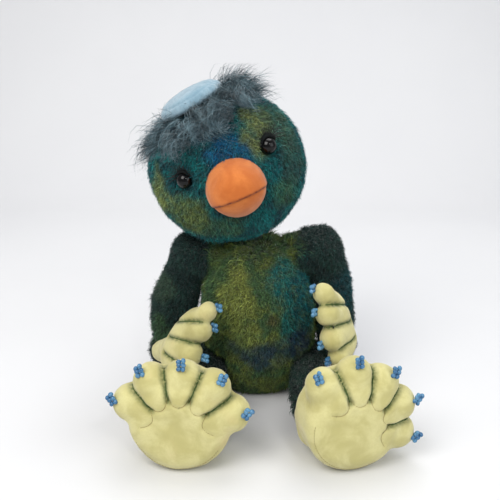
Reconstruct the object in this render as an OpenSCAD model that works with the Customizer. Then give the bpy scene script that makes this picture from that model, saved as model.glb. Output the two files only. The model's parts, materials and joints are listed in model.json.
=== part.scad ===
// Jointed plush creature, sitting: leaning head with a beak and a padded dish on the crown,
// furry arms and legs on disc joints, suede hands and feet with bead claws.
// The toy faces -Y, its left side is +X. The origin is the middle of the flat seat.

/* [Torso] */
// Largest radius of the egg-shaped torso
torso_r = 42.5; // [40:0.5:45]
// Height of the widest place of the torso
torso_wide_z = 45; // [42:0.5:48]
// Height of the torso's top, along its own axis
torso_top_z = 116.8; // [114:0.2:120]
// Lean of the torso toward the toy's right, degrees
torso_lean = 3.5; // [2:0.1:4]

/* [Head] */
// Radius of the round head
head_r = 52.5; // [48:0.5:54]
// Lean of the head from the torso's axis, degrees
head_lean = 18.5; // [14:0.5:20]
// Sideways place of the neck joint on the torso
neck_x = 3; // [0:0.5:4]
// Sideways bulge of the head from its own axis
head_bulge_x = 1.5; // [0:0.5:3]
// Gap between head and torso at the neck joint
neck_gap = 5; // [5:0.1:6]
// Diameter of the glass eyes
eye_d = 11.2; // [9:0.1:12]
// Turn of each eye to the side, degrees
eye_side = 34; // [28:1:38]
// Height of the eyes above the middle of the head, degrees
eye_up = 11; // [6:1:16]
// Radius of the round beak
beak_r = 21; // [18:0.5:23]
// How far the beak stands out from the head
beak_out = 19; // [14:0.5:24]
// Radius of the padded dish on the crown
dish_r = 24; // [20:0.5:28]

/* [Arms] */
// Height of the shoulder joints, along the torso's axis
shoulder_z = 104; // [100:0.5:106]
// Radius of the rounded shoulder
shoulder_r = 17; // [15:0.5:18]
// Thickness of the arm at the shoulder
arm_thick = 28; // [26:0.5:29]
// Radius of the arm at the elbow
elbow_r = 14.5; // [12.5:0.5:15]
// Radius of the arm at the wrist
wrist_r = 11.5; // [10.5:0.5:12]
// Distance from shoulder joint to wrist
arm_len = 84; // [78:1:86]
// Splay of the left arm, degrees
left_splay = 6.5; // [5.5:0.5:8]
// Splay of the right arm, degrees
right_splay = 13; // [11:0.5:15]
// Thickness of a hand
hand_thick = 18; // [15:0.5:20]

/* [Legs] */
// Radius of a leg
leg_r = 12; // [11.5:0.5:12.5]
// Radius of the rounded hip end of a leg
hip_r = 15; // [14.5:0.5:16]
// Distance from hip joint to ankle
leg_len = 76; // [72:1:80]
// Height of the hip joints
hip_z = 20; // [19:0.5:22]
// Distance of the hip joints in front of the torso's middle
hip_front = 8; // [6:0.5:10]
// Distance of the left leg's inner side from the middle
left_hip_x = 21; // [20:0.5:22]
// Distance of the right leg's inner side from the middle
right_hip_x = 27; // [25:0.5:28]
// Radius of the round heel and ball of a foot
heel_r = 31.5; // [29:0.5:33]
// Depth of a foot from sole to instep
foot_depth = 34; // [30:1:36]
// Radius of a toe
toe_r = 11; // [10:0.5:11.5]
// Distance from the middle of a foot to the tips of its outer toes
toe_reach = 44; // [42:0.5:45]

/* [Joints] */
// Radius of the hardboard discs in the limb joints
disc_r = 11; // [9:0.5:11.5]
// Thickness of a hardboard disc
disc_t = 2.5; // [2:0.1:3]
// Diameter of the joint bolts
bolt_d = 5; // [4:0.5:6]
// Radius of the hardboard discs in the neck joint
neck_disc_r = 13; // [11:0.5:14]
// Diameter of the neck pins
neck_pin_d = 4; // [3:0.5:4.5]

/* [Hidden] */
$fn = 48;

LEFT = 1;
RIGHT = -1;
big = 300;
profile_steps = 9;
arc_steps = 6;
tube_fn = 16;           // facets around an arm, a finger or a toe
foot_fn = 28;           // facets around a foot

// Cloth, stuffing and fits
cloth = 3;              // wall of a sewn cover
soft_gap = 0.3;         // room between soft pieces
run_gap = 0.05;         // room around a turning pin
tight_gap = 0.02;       // room around a pin that stays put
face_gap = 0.1;         // room between faces that turn on each other

// Torso shape
seat_sink = 7.7;        // how far the whole egg would reach below the seat
torso_power = 2.8;      // fullness of the torso's top
notch_room = 1;         // room for a leg in the side of the torso

// Joint hardware, measured along the joint's axis from the limb's inner face
washer_t = 1.2;
washer_r = 7;
nut_t = 4;
nut_r = 4.6;
bolt_head_t = 2.5;
bolt_end = 1;
torso_disc_x = -soft_gap - cloth;
torso_washer_x = torso_disc_x - disc_t;
nut_x = torso_washer_x - washer_t - face_gap;
limb_disc_x = cloth;
limb_washer_x = limb_disc_x + disc_t;
bolt_head_x = limb_washer_x + washer_t;
bolt_start_x = nut_x - nut_t - bolt_end;
bolt_stop_x = bolt_head_x + bolt_head_t;
boss_depth = 14;        // reach of a shoulder seat into the torso

// Neck joint, measured along the pins from the pivot
pivot_z = torso_top_z + neck_gap / 2;
head_mid_z = head_r + neck_gap / 2;
neck_hole_r = 8;
link_eye_r = 4;
link_pin_r = 1.5;
tang_t = 2.6;
fork_t = 2;
fork_room = 0.15;
fork_top = 6.6;
fork_w = 3.2;
collar_t = 3;
collar_r = 4.5;
torso_disc_top = pivot_z - torso_height_at(neck_disc_r + neck_x, cloth) + face_gap;
head_disc_low = head_mid_z - sqrt(pow(head_r - cloth, 2) - pow(neck_disc_r + head_bulge_x, 2)) + face_gap;

// Face
face_turn = 3;          // turn of eyes and beak to the left on the head, degrees
eye_proud = 1.5;
eye_shank_r = 0.9;
eye_shank_len = 12;
lid_r = 0.5;
lash_r = 0.35;
lash_len = 5;
beak_down = 8;          // place of the beak below the middle of the head, degrees
mouth_y = -4;           // mouth line below the beak's middle
crown_side = -60;       // place of the crown patch, degrees
crown_up = 81;
hair_t = 3.4;
hair_spread = 44;
dish_t = 7;

// Arms and hands
upper_arm_r = 13;
palm_r = 17;
palm_offset = 9;
finger_z = [24, 10, -7, -21];
finger_r = [7.5, 8.5, 9, 7];
finger_reach = [21, 24, 23, 17];
finger_root = 4;

// Feet
toe_mid = 90;
toe_step = 37;
toe_arch = 1.5;         // each toe nearer the middle is shorter by this
toe_lift = 1;           // toes stand this far behind the sole
foot_edge = 9;
foot_y = 117;           // hip joint to sole
foot_rise = heel_r - hip_z;

// Bead claws
bead_r = 1.45;
bead_step = 2.2;
bead_side = 1.2;
claw_tilt = 8;

function elbow_out(side) = side == LEFT ? 1 : 5;
function wrist_out(side) = side == LEFT ? 0.5 : 3;
function splay(side) = side == LEFT ? left_splay : right_splay;
function hip_x(side) = side == LEFT ? left_hip_x : right_hip_x;
function hand_at(side) = side == LEFT ? [14, -46, -41.5] : [9, -45, -49];
function hand_heel(side) = concat(side == LEFT ? [17, -22, -66] : [21, -20, -71], [wrist_r - 2.5]);
function hand_turn(side) = side == LEFT ? [-13, -6, -26] : [-13, -14, -36];
function foot_x(side) = side == LEFT ? 36 : 27;
function reach_of(k) = toe_reach - toe_arch * (2 - abs(k));
function foot_turn(side) = side == LEFT ? [0, 37, 15] : [0, -4, 5];

// Half width of the torso at a height, drawn in by an inset
function torso_width(z, inset) =
    z < torso_wide_z
    ? (torso_r - inset) * sqrt(max(0, 1 - pow((torso_wide_z - z) / (torso_wide_z + seat_sink - inset), 2)))
    : (torso_r - inset) * pow(max(0, 1 - pow((z - torso_wide_z) / (torso_top_z - torso_wide_z - inset),
        torso_power)), 1 / torso_power);

// Height at which the torso's top has a given half width
function torso_height_at(r, inset) =
    torso_wide_z + (torso_top_z - torso_wide_z - inset)
    * pow(1 - pow(r / (torso_r - inset), torso_power), 1 / torso_power);

// How far the torso reaches toward a side that is tilted up by an angle
function torso_reach(angle) =
    max([for (z = [0:1:torso_top_z]) torso_width(z, 0) * cos(angle) + z * sin(angle)]);

// Sideways place of a shoulder joint, so that the whole arm swings clear of the torso
function shoulder_x(side) =
    (torso_reach(splay(side)) + 2 * soft_gap - shoulder_z * sin(splay(side))) / cos(splay(side));

// Points on a shape's own axis system
module in_torso() {
    rotate([0, -torso_lean, 0])
        children();
}

module in_neck() {
    in_torso()
        translate([neck_x, 0, pivot_z])
            children();
}

module in_head() {
    in_neck()
        rotate([0, -head_lean, 0])
            children();
}

// Middle of the head, turned so that +Z points out of the face or crown
module on_head(side, up) {
    in_head()
        translate([head_bulge_x, 0, head_mid_z])
            rotate([90 - up, 0, side])
                children();
}

module to_side(side) {
    mirror([side == LEFT ? 0 : 1, 0, 0])
        children();
}

// Shoulder and hip joints: +X is the joint's axis, pointing out of the body
module at_shoulder(side) {
    in_torso()
        to_side(side)
            translate([shoulder_x(side), 0, shoulder_z])
                rotate([0, -splay(side), 0])
                    children();
}

module at_hip(side) {
    to_side(side)
        translate([hip_x(side), -hip_front, hip_z])
            children();
}

module at_hand(side) {
    at_shoulder(side)
        translate(hand_at(side))
            rotate(hand_turn(side))
                children();
}

// Middle of the sole, which faces -Y
module at_foot(side) {
    at_hip(side)
        translate([foot_x(side), -foot_y, foot_rise])
            rotate(foot_turn(side))
                children();
}

// Solid egg of the torso on its own axis
module torso_egg(inset) {
    low = -seat_sink + inset;
    high = torso_top_z - inset;
    low_half = torso_wide_z - low;
    high_half = high - torso_wide_z;
    lower = [for (i = [1:profile_steps]) torso_wide_z - low_half * cos(90 * i / profile_steps)];
    upper = [for (i = [1:profile_steps - 1]) torso_wide_z + high_half * sin(90 * i / profile_steps)];
    heights = concat(lower, upper);
    rotate_extrude()
        polygon(concat([[0, low]], [for (z = heights) [torso_width(z, inset), z]], [[0, high]]));
}

// Rounded tube through a list of points [x, y, z, radius], drawn in by an inset
module tube(points, inset) {
    for (i = [0:len(points) - 2])
        hull()
            for (p = [points[i], points[i + 1]])
                translate([p[0], p[1], p[2]])
                    sphere(r = p[3] - inset, $fn = tube_fn);
}

// Points [x, y, z, radius] from p through q, or a middle point, to r
function bend(p, q, r, steps) =
    [for (i = [0:steps]) let (t = i / steps) pow(1 - t, 2) * p + 2 * t * (1 - t) * q + t * t * r];

// Round pad along +Z from z = 0 to z = t, with rounded edges
module pad(r, t, edge) {
    low = [for (i = [0:arc_steps]) let (a = 90 * i / arc_steps) [r - edge + edge * sin(a), edge * (1 - cos(a))]];
    high = [for (i = [arc_steps:-1:0]) let (a = 90 * i / arc_steps)
        [r - edge + edge * sin(a), t - edge * (1 - cos(a))]];
    rotate_extrude()
        polygon(concat([[0, 0]], low, high, [[0, t]]));
}

// Cylinder along +X from x1 to x2
module rod(r, x1, x2) {
    translate([x1, 0, 0])
        rotate([0, 90, 0])
            cylinder(r = r, h = x2 - x1);
}

// Six-sided bar along +X from x1 to x2
module hex(r, x1, x2) {
    translate([x1, 0, 0])
        rotate([0, 90, 0])
            cylinder(r = r, h = x2 - x1, $fn = 6);
}

// Room that a hip end and its leg sweep beside the torso, from sitting to standing
module leg_notch(side, inset) {
    r = hip_r + notch_room + inset;
    at_hip(side)
        translate([-soft_gap - inset, 0, 0]) {
            rod(r, 0, big);
            translate([0, -big, -big])
                cube([big, big, big + r]);
            translate([0, -big, -big])
                cube([big, big + r, big]);
        }
}

// Everything below a height
module below(z) {
    translate([-big, -big, z - 2 * big])
        cube([2 * big, 2 * big, 2 * big]);
}

// Torso with its leg notches and flat seat, drawn in by an inset
module torso_form(inset) {
    difference() {
        in_torso()
            torso_egg(inset);
        for (side = [LEFT, RIGHT])
            leg_notch(side, inset);
        below(inset);
    }
}

// Seats of the shoulder joints, drawn in by an inset
module shoulder_seats(inset) {
    for (side = [LEFT, RIGHT])
        at_shoulder(side)
            rod(disc_r + 2 * soft_gap + cloth - inset, -boss_depth, -soft_gap - inset);
}

// Joint places on the torso, for the holes and pockets of the joint hardware
module at_joints() {
    for (side = [LEFT, RIGHT]) {
        at_shoulder(side)
            children();
        at_hip(side)
            children();
    }
}

module torso_cover() {
    color("darkolivegreen")
        difference() {
            union() {
                torso_form(0);
                shoulder_seats(0);
            }
            torso_form(cloth);
            shoulder_seats(cloth);
            at_joints()
                rod(bolt_d / 2 + soft_gap, -2 * cloth, cloth);
            in_neck()
                translate([0, 0, -4 * cloth])
                    cylinder(r = neck_hole_r, h = 8 * cloth);
        }
}

module torso_stuffing() {
    color("white")
        difference() {
            torso_form(cloth + soft_gap);
            at_joints()
                rod(disc_r + soft_gap, bolt_start_x - soft_gap, cloth);
            in_neck()
                translate([0, 0, -torso_disc_top - disc_t - washer_t - collar_t - 1])
                    cylinder(r = neck_disc_r + soft_gap, h = big);
        }
}

// Disc of the neck joint along +Z, with a bore for its pin
module neck_plate(r, z, t) {
    translate([0, 0, z])
        difference() {
            cylinder(r = r, h = t);
            translate([0, 0, -1])
                cylinder(r = neck_pin_d / 2 + run_gap, h = t + 2);
        }
}

module torso_neck_disc() {
    color("saddlebrown")
        in_neck()
            neck_plate(neck_disc_r, -torso_disc_top - disc_t, disc_t);
}

module torso_neck_washer() {
    color("silver")
        in_neck()
            neck_plate(washer_r, -torso_disc_top - disc_t - washer_t, washer_t);
}

module neck_lower_pin() {
    collar_z = -torso_disc_top - disc_t - washer_t - face_gap - collar_t;
    color("silver")
        in_neck()
            difference() {
                union() {
                    translate([0, 0, collar_z])
                        cylinder(r = collar_r, h = collar_t);
                    translate([0, 0, collar_z])
                        cylinder(r = neck_pin_d / 2, h = -collar_z - link_eye_r - fork_room);
                    translate([-fork_w / 2, -tang_t / 2, -link_eye_r - fork_room - 1])
                        cube([fork_w, tang_t, link_eye_r + 1]);
                    rotate([90, 0, 0])
                        cylinder(r = link_eye_r, h = tang_t, center = true);
                }
                rotate([90, 0, 0])
                    cylinder(r = link_pin_r + run_gap, h = 3 * tang_t, center = true);
            }
}

// Fork of the upper pin: two cheeks around the tang, a bridge and a shank
module neck_upper_pin() {
    slot = tang_t + 2 * fork_room;
    width = slot + 2 * fork_t;
    collar_z = head_disc_low + disc_t + washer_t + face_gap;
    color("silver")
        in_head()
            difference() {
                union() {
                    rotate([90, 0, 0])
                        cylinder(r = link_eye_r, h = width, center = true);
                    translate([-fork_w, -width / 2, 0])
                        cube([2 * fork_w, width, fork_top]);
                    cylinder(r = neck_pin_d / 2, h = collar_z + collar_t);
                    translate([0, 0, collar_z])
                        cylinder(r = collar_r, h = collar_t);
                }
                translate([-big / 2, -slot / 2, -big + link_eye_r + face_gap])
                    cube([big, slot, big]);
                rotate([90, 0, 0])
                    cylinder(r = link_pin_r + tight_gap, h = 2 * width, center = true);
            }
}

module neck_link_pin() {
    color("silver")
        in_head()
            rotate([90, 0, 0])
                cylinder(r = link_pin_r, h = tang_t + 2 * fork_room + 2 * fork_t, center = true);
}

module head_neck_disc() {
    color("saddlebrown")
        in_head()
            neck_plate(neck_disc_r, head_disc_low, disc_t);
}

module head_neck_washer() {
    color("silver")
        in_head()
            neck_plate(washer_r, head_disc_low + disc_t, washer_t);
}

module at_eyes() {
    for (side = [LEFT, RIGHT])
        on_head(face_turn + side * eye_side, eye_up)
            children();
}

module head_cover() {
    color("teal")
        difference() {
            on_head(0, 0)
                sphere(r = head_r);
            on_head(0, 0)
                sphere(r = head_r - cloth);
            in_head()
                cylinder(r = neck_hole_r, h = 4 * cloth);
            at_eyes()
                translate([0, 0, head_r + eye_proud])
                    sphere(r = eye_d / 2 + face_gap);
        }
}

module head_stuffing() {
    color("white")
        difference() {
            on_head(0, 0)
                sphere(r = head_r - cloth - soft_gap);
            in_head()
                cylinder(r = neck_disc_r + soft_gap, h = head_disc_low + disc_t + washer_t + collar_t + 1);
            at_eyes()
                translate([0, 0, head_r - eye_shank_len])
                    cylinder(r = eye_d / 2, h = big);
        }
}

// Glass eye with its wire shank
module eye(side) {
    color("black")
        on_head(face_turn + side * eye_side, eye_up) {
            translate([0, 0, head_r + eye_proud])
                sphere(r = eye_d / 2);
            translate([0, 0, head_r - eye_shank_len + 2 * eye_shank_r])
                cylinder(r = eye_shank_r, h = eye_shank_len);
        }
}

module left_eye() {
    eye(LEFT);
}

module right_eye() {
    eye(RIGHT);
}

// Upper lid over an eye with a row of lashes
module lashes(side) {
    lid_at = eye_d / 2 + 2 * lid_r;
    color("dimgray")
        on_head(face_turn + side * eye_side, eye_up)
            translate([0, 0, head_r + eye_proud]) {
                rotate([0, 0, 15])
                    rotate_extrude(angle = 150)
                        translate([lid_at, 0])
                            circle(r = lid_r, $fn = 24);
                for (a = [30:20:150])
                    rotate([0, 0, a])
                        translate([lid_at, 0, 0])
                            rotate([0, 60, 0])
                                cylinder(r = lash_r, h = lash_len, $fn = 24);
            }
}

module left_lashes() {
    lashes(LEFT);
}

module right_lashes() {
    lashes(RIGHT);
}

// Rounded beak on the face, its axis along +Z
module beak_dome(r, out) {
    low = head_r - r / 2;
    high = head_r + out;
    edge = [for (i = [0:profile_steps]) let (a = 90 * i / profile_steps)
        [r * pow(cos(a), 0.75), low + (high - low) * sin(a)]];
    on_head(face_turn, -beak_down)
        rotate_extrude()
            polygon(concat([[0, low]], edge));
}

// Space above or below the mouth line
module mouth_side(way) {
    on_head(face_turn, -beak_down)
        translate([-big / 2, way > 0 ? mouth_y : mouth_y - soft_gap - big, 0])
            cube([big, big, big]);
}

module upper_beak() {
    color("sandybrown")
        difference() {
            intersection() {
                beak_dome(beak_r, beak_out);
                mouth_side(1);
            }
            on_head(0, 0)
                sphere(r = head_r + face_gap);
        }
}

module lower_beak() {
    color("sandybrown")
        difference() {
            intersection() {
                beak_dome(beak_r - 1, beak_out - 3);
                mouth_side(-1);
            }
            on_head(0, 0)
                sphere(r = head_r + face_gap);
        }
}

// Curly hair patch around the crown
module crown_hair() {
    low = head_r + face_gap;
    high = head_r + hair_t;
    steps = 8;
    inner = [for (i = [0:steps]) let (a = hair_spread * i / steps) [low * sin(a), low * cos(a)]];
    outer = [for (i = [steps:-1:0]) let (a = hair_spread * i / steps) [high * sin(a), high * cos(a)]];
    color("slategray")
        on_head(crown_side, crown_up)
            rotate_extrude()
                polygon(concat(inner, outer));
}

// Padded dish that sits on the hair, hollow below to follow the crown
module crown_dish() {
    low = head_r + hair_t + face_gap;
    rim = dish_r - dish_t / 3;
    steps = 8;
    rim_z = sqrt(low * low - rim * rim);
    under = [for (i = [0:steps]) let (r = rim * i / steps) [r, sqrt(low * low - r * r)]];
    top = [for (i = [0:steps]) let (a = 90 * i / steps)
        [dish_r * pow(cos(a), 0.6), rim_z + dish_t / 3 + (low + dish_t - rim_z - dish_t / 3) * sin(a)]];
    color("lightsteelblue")
        on_head(crown_side, crown_up)
            rotate_extrude()
                polygon(concat(under, top));
}

// Arm with a flat inner face at the shoulder, drawn in by an inset
module arm_form(side, inset) {
    mid = arm_thick / 2;
    shoulder = [mid, 0, -2, upper_arm_r];
    elbow = [elbow_r + elbow_out(side), 0, -arm_len / 2, elbow_r + 1];
    wrist = [wrist_r + wrist_out(side), 4, -arm_len, wrist_r];
    at_shoulder(side) {
        hull() {
            rod(disc_r + cloth + 1 - inset, inset, inset + 1);
            translate([mid, 0, 0])
                scale([(mid - inset) / (shoulder_r - inset), 1, 1])
                    sphere(r = shoulder_r - inset, $fn = 2 * tube_fn);
        }
        tube(bend(shoulder, elbow, wrist, 6), inset);
        tube([wrist, hand_heel(side)], inset);
    }
}

// Hand: fingers point to -Y and fan along Z, the palm faces X, and the heel reaches the wrist
module hand_form(side, grow) {
    at_hand(side) {
        hull()
            for (z = [-palm_offset, palm_offset])
                translate([0, 0, z])
                    scale([(hand_thick / 2 + grow) / (palm_r + grow), 1, 1])
                        sphere(r = palm_r + grow, $fn = 2 * tube_fn);
        for (i = [0:3])
            tube([[0, 0, finger_z[i] * 0.7, finger_r[i]],
                [0, -finger_root, finger_z[i] * 0.8, finger_r[i]],
                [0, finger_r[i] - finger_reach[i], finger_z[i], finger_r[i]]], -grow);
    }
    at_shoulder(side)
        tube([concat(hand_at(side), [hand_thick / 2]), hand_heel(side)], -grow);
}

module arm_cover(side) {
    color("darkslategray")
        difference() {
            arm_form(side, 0);
            arm_form(side, cloth);
            hand_form(side, soft_gap);
            at_shoulder(side)
                rod(bolt_d / 2 + soft_gap, -cloth, 2 * cloth);
        }
}

module arm_stuffing(side) {
    color("white")
        difference() {
            arm_form(side, cloth + soft_gap);
            hand_form(side, 2 * soft_gap);
            at_shoulder(side)
                rod(disc_r + soft_gap, 0, bolt_stop_x + soft_gap);
        }
}

module hand(side) {
    color("khaki")
        hand_form(side, 0);
}

// Claw sewn from glass beads: a knob of beads at each end, its length along +Z
module claw() {
    for (way = [-1, 1])
        for (z = [0, 3 * bead_step])
            translate([way * bead_side, 0, z])
                sphere(r = bead_r, $fn = 24);
    for (i = [1, 2])
        translate([0, 0, i * bead_step])
            sphere(r = bead_r + 0.15, $fn = 24);
    for (z = [0, 2 * bead_step])
        translate([0, 0, z])
            cylinder(r = bead_side / 2, h = bead_step, $fn = 24);
}

// Claws on the tips of the fingers, on the palm side
module hand_claws(side) {
    color("steelblue")
        at_hand(side)
            for (i = [0:3])
                translate([-finger_r[i] - bead_side - bead_r / 2, -finger_reach[i] + 2 * bead_step, finger_z[i]])
                    rotate([90, 0, 0])
                        rotate([0, claw_tilt, 0])
                            claw();
}

// Hip end and leg with a flat inner face, ending at the ankle, drawn in by an inset
module leg_form(side, inset) {
    at_hip(side) {
        translate([inset, 0, 0])
            rotate([0, 90, 0])
                pad(hip_r - inset, 2 * (leg_r - inset), max(soft_gap, hip_r - disc_r - inset - soft_gap));
        translate([leg_r, 0, 0])
            rotate([90, 0, 0])
                cylinder(r = leg_r - inset, h = leg_len - inset);
    }
}

module leg_cover(side) {
    color("darkgreen")
        difference() {
            leg_form(side, 0);
            leg_form(side, cloth);
            at_hip(side)
                rod(bolt_d / 2 + soft_gap, -cloth, 2 * cloth);
        }
}

module leg_stuffing(side) {
    color("white")
        difference() {
            leg_form(side, cloth + soft_gap);
            at_hip(side)
                rod(disc_r + soft_gap, 0, bolt_stop_x + soft_gap);
        }
}

// Round heel and ball of a foot behind its sole, drawn in by an inset
module foot_pad(inset) {
    translate([0, inset, 0])
        rotate([-90, 0, 0])
            pad(heel_r - inset, foot_depth - 2 * inset, foot_edge - inset, $fn = foot_fn);
}

// Ankle from the leg's end into the foot, drawn in by an inset
module ankle(side, inset) {
    at_hip(side)
        translate([leg_r, inset - leg_len - tight_gap, 0])
            rotate([90, 0, 0])
                cylinder(r = leg_r - inset, h = foot_y - leg_len - foot_depth / 2, $fn = foot_fn);
}

module foot(side) {
    color("khaki")
        difference() {
            union() {
                at_foot(side) {
                    foot_pad(0);
                    for (k = [-2:2])
                        rotate([0, -toe_mid - k * toe_step, 0])
                            tube([for (x = [toe_r / 2, toe_r, reach_of(k) - toe_r]) [x, toe_r + toe_lift, 0, toe_r]], 0);
                }
                ankle(side, 0);
            }
            at_foot(side)
                foot_pad(cloth);
            ankle(side, cloth);
        }
}

module foot_stuffing(side) {
    color("white")
        at_foot(side)
            foot_pad(cloth + soft_gap);
}

// Claws on the tips of the toes, in front of them
module foot_claws(side) {
    color("steelblue")
        at_foot(side)
            for (k = [-2:2])
                rotate([0, -toe_mid - k * toe_step, 0])
                    translate([reach_of(k) - bead_step, bead_r, 0])
                        rotate([0, 90, 0])
                            rotate([0, 0, 90])
                                claw();
}

// Joint hardware, the same at shoulders and hips
module joint_plate(r, x1, x2, gap) {
    difference() {
        rod(r, x1, x2);
        rod(bolt_d / 2 + gap, x1 - 1, x2 + 1);
    }
}

module joint_bolt() {
    color("silver") {
        rod(bolt_d / 2, bolt_start_x, bolt_head_x);
        hex(nut_r, bolt_head_x, bolt_stop_x);
    }
}

module joint_nut() {
    color("silver")
        difference() {
            hex(nut_r, nut_x - nut_t, nut_x);
            rod(bolt_d / 2 + tight_gap, nut_x - nut_t - 1, nut_x + 1);
        }
}

module limb_disc() {
    color("saddlebrown")
        joint_plate(disc_r, limb_disc_x, limb_disc_x + disc_t, tight_gap);
}

module limb_washer() {
    color("silver")
        joint_plate(washer_r, limb_washer_x, limb_washer_x + washer_t, tight_gap);
}

module body_disc() {
    color("saddlebrown")
        joint_plate(disc_r, torso_disc_x - disc_t, torso_disc_x, run_gap);
}

module body_washer() {
    color("silver")
        joint_plate(washer_r, torso_washer_x - washer_t, torso_washer_x, run_gap);
}

module left_arm_cover() {
    arm_cover(LEFT);
}

module left_arm_stuffing() {
    arm_stuffing(LEFT);
}

module left_hand() {
    hand(LEFT);
}

module left_hand_claws() {
    hand_claws(LEFT);
}

module left_shoulder_bolt() {
    at_shoulder(LEFT)
        joint_bolt();
}

module left_shoulder_nut() {
    at_shoulder(LEFT)
        joint_nut();
}

module left_arm_disc() {
    at_shoulder(LEFT)
        limb_disc();
}

module left_arm_washer() {
    at_shoulder(LEFT)
        limb_washer();
}

module left_shoulder_disc() {
    at_shoulder(LEFT)
        body_disc();
}

module left_shoulder_washer() {
    at_shoulder(LEFT)
        body_washer();
}

module right_arm_cover() {
    arm_cover(RIGHT);
}

module right_arm_stuffing() {
    arm_stuffing(RIGHT);
}

module right_hand() {
    hand(RIGHT);
}

module right_hand_claws() {
    hand_claws(RIGHT);
}

module right_shoulder_bolt() {
    at_shoulder(RIGHT)
        joint_bolt();
}

module right_shoulder_nut() {
    at_shoulder(RIGHT)
        joint_nut();
}

module right_arm_disc() {
    at_shoulder(RIGHT)
        limb_disc();
}

module right_arm_washer() {
    at_shoulder(RIGHT)
        limb_washer();
}

module right_shoulder_disc() {
    at_shoulder(RIGHT)
        body_disc();
}

module right_shoulder_washer() {
    at_shoulder(RIGHT)
        body_washer();
}

module left_leg_cover() {
    leg_cover(LEFT);
}

module left_leg_stuffing() {
    leg_stuffing(LEFT);
}

module left_foot() {
    foot(LEFT);
}

module left_foot_stuffing() {
    foot_stuffing(LEFT);
}

module left_foot_claws() {
    foot_claws(LEFT);
}

module left_hip_bolt() {
    at_hip(LEFT)
        joint_bolt();
}

module left_hip_nut() {
    at_hip(LEFT)
        joint_nut();
}

module left_leg_disc() {
    at_hip(LEFT)
        limb_disc();
}

module left_leg_washer() {
    at_hip(LEFT)
        limb_washer();
}

module left_hip_disc() {
    at_hip(LEFT)
        body_disc();
}

module left_hip_washer() {
    at_hip(LEFT)
        body_washer();
}

module right_leg_cover() {
    leg_cover(RIGHT);
}

module right_leg_stuffing() {
    leg_stuffing(RIGHT);
}

module right_foot() {
    foot(RIGHT);
}

module right_foot_stuffing() {
    foot_stuffing(RIGHT);
}

module right_foot_claws() {
    foot_claws(RIGHT);
}

module right_hip_bolt() {
    at_hip(RIGHT)
        joint_bolt();
}

module right_hip_nut() {
    at_hip(RIGHT)
        joint_nut();
}

module right_leg_disc() {
    at_hip(RIGHT)
        limb_disc();
}

module right_leg_washer() {
    at_hip(RIGHT)
        limb_washer();
}

module right_hip_disc() {
    at_hip(RIGHT)
        body_disc();
}

torso_cover();
torso_stuffing();
torso_neck_disc();
torso_neck_washer();
neck_lower_pin();
neck_upper_pin();
neck_link_pin();
head_neck_disc();
head_neck_washer();
head_cover();
head_stuffing();
upper_beak();
lower_beak();
left_eye();
right_eye();
left_lashes();
right_lashes();
crown_hair();
crown_dish();
left_arm_cover();
left_arm_stuffing();
left_hand();
left_hand_claws();
left_shoulder_bolt();
left_shoulder_nut();
left_arm_disc();
left_arm_washer();
left_shoulder_disc();
left_shoulder_washer();
right_arm_cover();
right_arm_stuffing();
right_hand();
right_hand_claws();
right_shoulder_bolt();
right_shoulder_nut();
right_arm_disc();
right_arm_washer();
right_shoulder_disc();
right_shoulder_washer();
left_leg_cover();
left_leg_stuffing();
left_foot();
left_foot_stuffing();
left_foot_claws();
left_hip_bolt();
left_hip_nut();
left_leg_disc();
left_leg_washer();
left_hip_disc();
left_hip_washer();
right_leg_cover();
right_leg_stuffing();
right_foot();
right_foot_stuffing();
right_foot_claws();
right_hip_bolt();
right_hip_nut();
right_leg_disc();
right_leg_washer();
right_hip_disc();
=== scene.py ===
"""Jointed plush creature, sitting: mohair body, suede beak, hands and feet, bead claws."""

import json
import math

import bmesh
import bpy
import numpy as np
from mathutils import Matrix, Vector
from mathutils.bvhtree import BVHTree


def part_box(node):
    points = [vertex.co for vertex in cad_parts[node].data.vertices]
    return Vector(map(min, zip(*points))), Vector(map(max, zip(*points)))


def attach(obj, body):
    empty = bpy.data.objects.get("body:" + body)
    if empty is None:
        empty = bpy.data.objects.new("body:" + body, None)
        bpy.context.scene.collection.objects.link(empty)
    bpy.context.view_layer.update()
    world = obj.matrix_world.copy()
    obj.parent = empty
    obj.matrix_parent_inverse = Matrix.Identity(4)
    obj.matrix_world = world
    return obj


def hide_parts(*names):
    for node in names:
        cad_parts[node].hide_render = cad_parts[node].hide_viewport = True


MM = 0.001
FUR_SHARE = 1.0

# Strands in one piece: each has five triangles, and a piece may hold 200,000
BODY_STRANDS = 39500
LEG_STRANDS = 26000
NECK_STRANDS = 9000
CROWN_STRANDS = 12500
DISH_STRANDS = 9000
EYE_R = 5.6                  # glass eye, mm
EYE_SIDE, EYE_UP = 34, 11    # place of the eyes on the head, degrees
RNG = np.random.default_rng(11)

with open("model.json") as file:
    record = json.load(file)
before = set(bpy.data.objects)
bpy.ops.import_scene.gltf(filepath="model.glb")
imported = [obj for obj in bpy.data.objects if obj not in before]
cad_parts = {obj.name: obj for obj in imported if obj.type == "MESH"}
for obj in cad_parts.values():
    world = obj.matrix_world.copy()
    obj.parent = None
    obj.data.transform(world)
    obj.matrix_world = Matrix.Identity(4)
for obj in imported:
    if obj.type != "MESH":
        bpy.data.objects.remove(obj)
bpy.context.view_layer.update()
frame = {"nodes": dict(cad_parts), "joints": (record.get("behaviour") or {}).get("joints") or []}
NODES = frame["nodes"]
JOINTS = {j["name"]: j for j in frame["joints"]}
SCENE = bpy.context.scene


# ---------------------------------------------------------------- colours and nodes

def srgb(r, g, b):
    """A colour given as 0 to 255 display values, as linear light."""
    out = []
    for c in (r, g, b):
        c /= 255
        out.append(c / 12.92 if c <= 0.04045 else ((c + 0.055) / 1.055) ** 2.4)
    return tuple(out) + (1.0,)


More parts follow.
